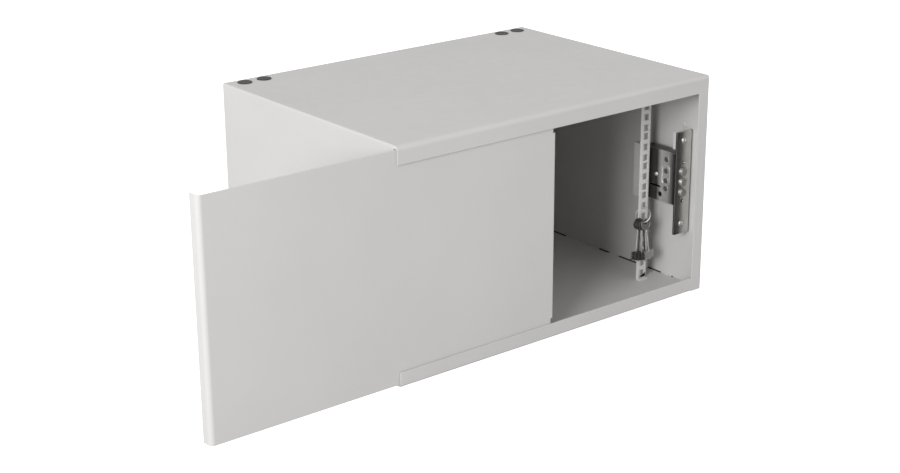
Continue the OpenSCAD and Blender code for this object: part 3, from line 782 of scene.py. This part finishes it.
def key_ring():
    lo, hi = span("key_ring")
    centre = (lo + hi) / 2
    upright = Matrix.Rotation(math.radians(90 - RING_TILT), 3, "X")
    tilt = Matrix.Rotation(math.radians(-RING_TURN), 3, "Z") @ upright
    wire, pitch, turns, steps = 0.55, 1.12, 2, 64
    curve = bpy.data.curves.new("key_ring", "CURVE")
    curve.dimensions, curve.bevel_depth, curve.bevel_resolution = "3D", wire, 4
    curve.use_fill_caps = True
    spline = curve.splines.new("POLY")
    spline.points.add(turns * steps)
    for k in range(turns * steps + 1):
        angle = 2 * math.pi * k / steps + math.radians(200)
        height = (k / steps - turns / 2) * pitch
        # the two turns of the split ring lie side by side
        point = centre + tilt @ Vector((RING_R * math.cos(angle), RING_R * math.sin(angle), height))
        spline.points[k].co = (*point, 1)
    helper = bpy.data.objects.new("key_ring_curve", curve)
    scene.collection.objects.link(helper)
    bpy.context.view_layer.update()
    mesh = bpy.data.meshes.new_from_object(helper.evaluated_get(bpy.context.evaluated_depsgraph_get()))
    bpy.data.objects.remove(helper)
    ring = bpy.data.objects.new("key_ring", mesh)
    scene.collection.objects.link(ring)
    place(ring, "key_ring_split", "key_ring", ["key_ring"], wire_steel, edge=0)


def keys():
    """Double-bit lever keys: a round bow, a collar, a shank and a cut bit on each side of its end."""
    bow_r, bow_drop, hole_r, shank_r, length = 8.5, 3.4, 3.5, 1.25, 60.0
    bit_w, bit_h, thick = 16.0, 12.0, 2.0
    for i in range(1, 6):
        joint = next(j for j in frame["joints"] if j["child"] == f"key_{i}")
        normal = Vector(joint["axis"]).normalized()
        bow = prism(circle((0, -bow_drop), bow_r, 64), "y", -thick / 2, thick / 2)
        hollow = circle((0, -bow_drop), bow_r - 1.4, 64)
        cut(bow, *[prism(hollow, "y", way * (thick / 2 - 0.35), way * (thick / 2 + 1)) for way in (-1, 1)])
        turned = [(0, 0), (1.8, 0), (1.8, 2.2), (1.4, 2.6), (1.4, 3.4), (1.8, 3.8), (1.8, 5), (0, 5)]
        collar = lathe(turned, (0, 0, -bow_drop - bow_r - 4.6), (0, 0, 1), steps=24)
        stem_l = length - bow_drop - bow_r + 1
        turned = [(0, 0), (shank_r - 0.4, 0), (shank_r, 0.5), (shank_r, stem_l), (0, stem_l)]
        shank = lathe(turned, (0, 0, -length), (0, 0, 1), steps=24)
        bit_z = -length + 2
        bit_outline = rectangle((-bit_w / 2, bit_z), (bit_w / 2, bit_z + bit_h), (0.6,) * 4)
        bit = prism(bit_outline, "y", -thick / 2, thick / 2)
        cuts = []
        for side in (-1, 1):
            for k in range(3):
                depth = 1.5 + ((i + k) % 3) * 0.8
                z = -length + 5 + k * 3.6
                edge_x = side * bit_w / 2
                cuts.append(block((edge_x - depth, -PAST, z - 0.8), (edge_x + depth, PAST, z + 0.8)))
        cut(bit, *cuts)
        cut(bow, rod((0, 0, 0), (0, 1, 0), hole_r, -PAST, PAST))
        # both are flattened to the key's thickness, so that the keys hang side by side
        collar.data.transform(Matrix.Diagonal((1, 0.55, 1, 1)))
        shank.data.transform(Matrix.Diagonal((1, 0.8, 1, 1)))
        add(shank, collar)
        # the key's own axes: its normal is the joint's axis, and it leans in its own plane
        turn = Vector((0, -1, 0)).rotation_difference(normal).to_matrix()
        lean = Matrix.Rotation(math.radians(KEY_LEANS[i - 1]), 3, "Y")
        matrix = (turn @ lean).to_4x4()
        matrix.translation = Vector(joint["pos_m"]) / MM
        # the front key keeps the lit steel; the bows and bits behind it and the shanks of keys 2 and 4 take
        # the darker copy, painted shade
        flat, edge_on = (key_steel, shank_steel) if i == 5 else (shaded_key_steel, shaded_key_steel)
        stem = shank_steel if i % 2 else shaded_key_steel
        for piece, name, mat in ((bow, "bow", flat), (bit, "bit", edge_on), (shank, "shank", stem)):
            piece.data.transform(matrix)
            place(piece, f"key_{i}_{name}", f"key_{i}", [f"key_{i}"], mat, edge=0.12)


# ---------------------------------------------------------------- welds

def weld_marks():
    """Tacks between the gaps of the floor seam, and beads and spot welds on the right wall."""
    rng = random.Random(7)
    blobs = []

    def blob(x, y, z, sx, sy, sz):
        arc = [math.radians(degrees) for degrees in range(-70, 71, 20)]
        profile = [(0, -1)] + [(math.cos(a), math.sin(a)) for a in arc] + [(0, 1)]
        piece = lathe(profile, (0, 0, 0), (0, 0, 1), steps=14)
        piece.data.transform(Matrix.Translation((x, y, z)) @ Matrix.Diagonal((sx, sy, sz, 1)))
        blobs.append(piece)

    def seam(x, y0, y1, z):
        y = y0
        while y < y1:
            blob(x, y, z, rng.uniform(1.4, 2.1), rng.uniform(1.6, 2.3), rng.uniform(1.2, 1.8))
            y += rng.uniform(1.7, 2.4)

    front = shell_lo.y
    for x in (wall_x, -wall_x):
        ends = [start + length for start, length in WELD_GAPS]
        for end in ends[:-1]:
            seam(x, front + end + 2.5, front + end + 12, SHEET)
    foot_lo = span("rail_right")[0]
    for k in range(5):
        blob(foot_lo.x + 4 + 2.2 * k, foot_lo.y, SHEET, 1.7, rng.uniform(1.4, 2), rng.uniform(1.2, 1.7))
    low, high = span("lock_bracket_lower"), span("lock_bracket_upper")
    for k in range(4):
        y = low[0].y + 9 + rng.uniform(-1, 1)
        blob(wall_x, y, low[0].z - 1 + 1.5 * k, 2.0, rng.uniform(2.8, 3.8), 2.2)
    for k in range(3):
        blob(wall_x, high[0].y + 14 + 1.5 * k, high[1].z + 1.5 + 1.4 * k, 1.9, 2.2, rng.uniform(2, 2.8))
    marks = merged(blobs)
    mod = marks.modifiers.new("fuse", "REMESH")
    mod.mode, mod.voxel_size = "VOXEL", 0.35
    bake_modifiers(marks)
    place(marks, "weld_tacks", "housing", [], paint, edge=0, clean=False)

    dimples = []
    for y, z in ((-92, 216), (-95, 99), (-92, 60)):
        ring = [(0, 0.05), (1.6, 0.1), (2.3, 0.45), (3.0, 0.3), (3.8, 0.05), (4.2, -0.3), (0, -0.3)]
        dimples.append(lathe(ring, (wall_x, y, z), (-1, 0, 0), steps=32))
    place(merged(dimples), "spot_weld_marks", "housing", [], paint, edge=0)


# ---------------------------------------------------------------- studio

FLOOR_GLOW = 0.85


def off_footprint(tree):
    """1 on the floor around the cabinet, 0 below it."""
    split = tree.nodes.new("ShaderNodeSeparateXYZ")
    tree.links.new(tree.nodes.new("ShaderNodeNewGeometry").outputs["Position"], split.inputs[0])
    limits = {"X": shell_hi.x * MM, "Y": (shell_hi.y - PAST) * MM}
    across, along = [math_node(tree, "DIVIDE", math_node(tree, "ABSOLUTE", split.outputs[axis]), limit)
                     for axis, limit in limits.items()]
    return math_node(tree, "GREATER_THAN", math_node(tree, "MAXIMUM", across, along), 1.0)


def studio():
    # seen by the camera the floor is white with a faint shadow; for bounced light it is a mid grey
    floor_mat, tree, shader = new_material("studio_white", (0.59, 0.59, 0.59), 0.9)
    shader.inputs["Specular IOR Level"].default_value = 0.1
    shader.inputs["Emission Color"].default_value = (1, 1, 1, 1)
    seen = tree.nodes.new("ShaderNodeLightPath")
    around = off_footprint(tree)
    # below the cabinet the floor is near black: painted shade where gaps look through to it
    tree.links.new(tint(tree, around, (0.01, 0.01, 0.01), (0.59, 0.59, 0.59)), shader.inputs["Base Color"])
    glow = math_node(tree, "MULTIPLY", seen.outputs["Is Camera Ray"], around)
    tree.links.new(math_node(tree, "MULTIPLY", glow, FLOOR_GLOW), shader.inputs["Emission Strength"])
    bm = bmesh.new()
    bmesh.ops.create_grid(bm, x_segments=1, y_segments=1, size=14000)
    floor = new_object("studio_floor", bm)
    floor.data.transform(Matrix.Scale(MM, 4))
    floor.data.materials.append(floor_mat)
    floor.location.z = cad_bounds[0].z - 0.0002

    world = bpy.data.worlds.new("studio")
    scene.world = world
    world.use_nodes = True
    sky = world.node_tree.nodes["Background"]
    sky.inputs["Color"].default_value = (1, 1, 1, 1)
    sky.inputs["Strength"].default_value = 0.83

    def softbox(name, position, target, size, power):
        data = bpy.data.lights.new(name, "AREA")
        data.shape, data.size, data.energy = "SQUARE", size, power
        light = bpy.data.objects.new(name, data)
        scene.collection.objects.link(light)
        light.location = position
        light.rotation_mode = "QUATERNION"
        light.rotation_quaternion = (Vector(target) - Vector(position)).to_track_quat("-Z", "Y")
        return light

    softbox("key_softbox", (-3.74, -1.79, 1.40), (-0.1, -0.1, 0.15), 1.6, 149)


def camera():
    """At the photograph's viewing angle: from the front left, a little above, with a long lens."""
    yaw, pitch, roll = 0.67393, 0.34219, -0.00591
    data = bpy.data.cameras.new("camera")
    data.sensor_fit, data.sensor_width, data.lens = "HORIZONTAL", 36, 69.125
    data.clip_start, data.clip_end = 0.05, 60
    cam = bpy.data.objects.new("camera", data)
    scene.collection.objects.link(cam)
    forward = Vector((math.sin(yaw) * math.cos(pitch), math.cos(yaw) * math.cos(pitch), -math.sin(pitch)))
    right = Vector((math.cos(yaw), -math.sin(yaw), 0))
    up = right.cross(forward)
    x_axis = right * math.cos(roll) + up * math.sin(roll)
    y_axis = up * math.cos(roll) - right * math.sin(roll)
    cam.rotation_mode = "QUATERNION"
    cam.rotation_quaternion = Matrix((x_axis, y_axis, -forward)).transposed().to_quaternion()
    cam.location = (-1.480459, -1.811111, 0.920639)
    scene.camera = cam


outer_shell()
floor_panel()
back_panel()
door_guides()
rails()
rail_brackets()
cable_plugs()
door()
door_strike()
lock_brackets()
face_plate()
face_screws()
lock_case()
lock_cover()
lock_bolts()
lock_insides()
key_ring()
keys()
weld_marks()
studio()
camera()
scene.view_settings.view_transform = "Standard"
